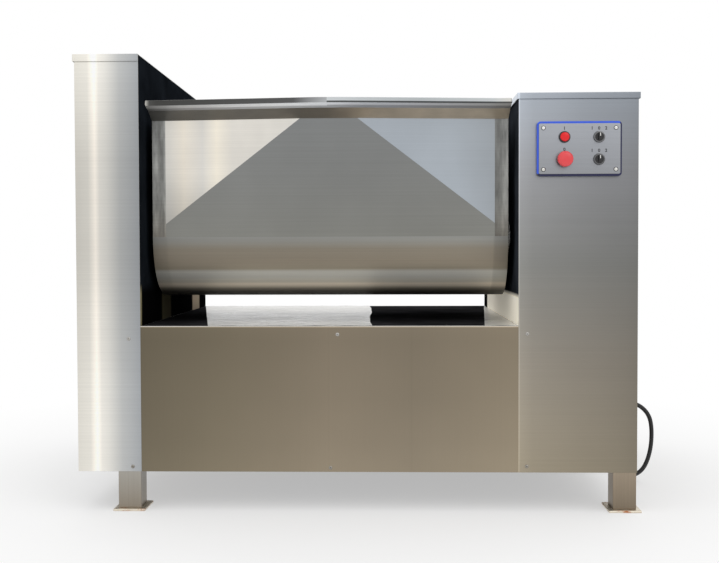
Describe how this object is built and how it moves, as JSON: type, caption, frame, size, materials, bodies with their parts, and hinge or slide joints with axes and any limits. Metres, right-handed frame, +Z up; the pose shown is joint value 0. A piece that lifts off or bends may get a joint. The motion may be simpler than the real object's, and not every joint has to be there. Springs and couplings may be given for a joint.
{
  "type": "meat mixer",
  "caption": "Free-standing tilting double trough mixer between a chain column and a control column, with contra-turning paddle shafts and a pointed spout rim.",
  "frame": {"origin": "bottom centre of the machine on the floor, measured without the power cable", "axes": "+X to the right seen from the front, +Y to the back, +Z up; the trough tips towards -Y"},
  "size_m": [1.5744, 1.1895, 1.183],
  "materials": {
    "leg_tube": "ground square tube",
    "foot_plate": "ground plate with a little surface rust",
    "plate_steel": "milled plate",
    "bearing_iron": "cast",
    "column_sheet": "brushed stainless sheet",
    "mirror_sheet": "mirror polished stainless sheet",
    "base_sheet": "fine brushed stainless sheet",
    "screw_steel": "turned",
    "trough_sheet": "brushed stainless sheet with ground weld strips",
    "shaft_steel": "turned stainless",
    "gear_steel": "cut steel, oiled",
    "chain_steel": "oiled chain",
    "seal_rubber": "lip seal",
    "gearbox_iron": "painted casting",
    "motor_paint": "painted finned casing",
    "box_paint": "powder coat",
    "control_plate": "satin plate",
    "gasket": "blue edge trim",
    "lamp": "red lens",
    "stop_red": "red",
    "black_plastic": "black",
    "cable_rubber": "black rubber sheath"
  },
  "bodies": {
    "frame": {"base_front_panel": "base_sheet", "base_rails": "leg_tube", "base_rear_panel": "base_sheet", "base_top_plate": "mirror_sheet", "cable_coil": "cable_rubber", "cable_gland": "black_plastic", "casing_screws": "screw_steel", "control_plate": "control_plate", "cross_rails": "leg_tube", "deck_rails": "leg_tube", "drive_beams": "plate_steel", "drive_chain": "chain_steel", "electrical_box": "box_paint", "foot_plates": "foot_plate", "left_bearing_plate": "plate_steel", "left_cap": "column_sheet", "left_casing": "column_sheet", "left_inner_panel": "mirror_sheet", "left_trunnion_bearing": "bearing_iron", "leg_front_left": "leg_tube", "leg_front_right": "leg_tube", "leg_rear_left": "leg_tube", "leg_rear_right": "leg_tube", "mixing_gearbox": "gearbox_iron", "mixing_motor": "motor_paint", "panel_gasket": "gasket", "pilot_lamp": "lamp", "plug": "black_plastic", "power_cable": "cable_rubber", "right_bearing_plate": "plate_steel", "right_cap": "column_sheet", "right_casing": "column_sheet", "right_inner_panel": "mirror_sheet", "right_posts": "leg_tube", "right_trunnion_bearing": "bearing_iron", "stop_collar": "black_plastic", "switch_bezels": "black_plastic", "tilt_gearbox": "gearbox_iron", "tilt_motor": "motor_paint", "tilt_shelf": "plate_steel"},
    "trough": {"trough_shell": "trough_sheet", "spout_rim": "trough_sheet", "gear_partition": "trough_sheet", "gear_chamber_cover": "trough_sheet", "right_end_plate": "trough_sheet", "left_trunnion": "shaft_steel", "right_trunnion": "shaft_steel", "tilt_gear": "gear_steel", "rear_shaft_bearings": "bearing_iron", "shaft_seals": "seal_rubber"},
    "front_agitator": {"front_agitator": "shaft_steel", "front_gear": "gear_steel", "driven_sprocket": "gear_steel"},
    "rear_agitator": {"rear_agitator": "shaft_steel", "rear_gear": "gear_steel"},
    "drive_sprocket": {"drive_sprocket": "gear_steel"},
    "tilt_pinion": {"tilt_pinion": "gear_steel"},
    "stop_button": {"stop_button": "stop_red"},
    "mix_switch_knob": {"mix_switch_knob": "black_plastic"},
    "tilt_switch_knob": {"tilt_switch_knob": "black_plastic"}
  },
  "joints": [
    {"name": "trough_tilt", "type": "hinge", "parent": "frame", "child": "trough", "pos_m": [0, -0.23241, 0.712], "axis": [1, 0, 0], "range_deg": [0, 85]},
    {"name": "front_agitator_spin", "type": "hinge", "parent": "trough", "child": "front_agitator", "pos_m": [0, -0.23241, 0.712], "axis": [1, 0, 0], "continuous": true},
    {"name": "rear_agitator_spin", "type": "hinge", "parent": "trough", "child": "rear_agitator", "pos_m": [0, 0.05758, 0.712], "axis": [1, 0, 0], "continuous": true},
    {"name": "drive_sprocket_spin", "type": "hinge", "parent": "frame", "child": "drive_sprocket", "pos_m": [0, -0.23241, 0.29651], "axis": [1, 0, 0], "continuous": true},
    {"name": "tilt_pinion_spin", "type": "hinge", "parent": "frame", "child": "tilt_pinion", "pos_m": [0, -0.07241, 0.712], "axis": [1, 0, 0], "range_deg": [-255, 0]},
    {"name": "stop_button_press", "type": "slide", "parent": "frame", "child": "stop_button", "axis": [0, 1, 0], "range_m": [0, 0.004], "stiffness_N_per_m": 1500},
    {"name": "mix_switch_turn", "type": "hinge", "parent": "frame", "child": "mix_switch_knob", "pos_m": [0.61725, -0.46541, 0.9615], "axis": [0, 1, 0], "range_deg": [-45, 45]},
    {"name": "tilt_switch_turn", "type": "hinge", "parent": "frame", "child": "tilt_switch_knob", "pos_m": [0.61725, -0.46541, 0.905], "axis": [0, 1, 0], "range_deg": [-45, 45]}
  ],
  "couplings": [
    {"joint": "rear_agitator_spin", "follows": "front_agitator_spin", "ratio": -1},
    {"joint": "drive_sprocket_spin", "follows": "front_agitator_spin", "ratio": 2},
    {"joint": "tilt_pinion_spin", "follows": "trough_tilt", "ratio": -3}
  ]
}
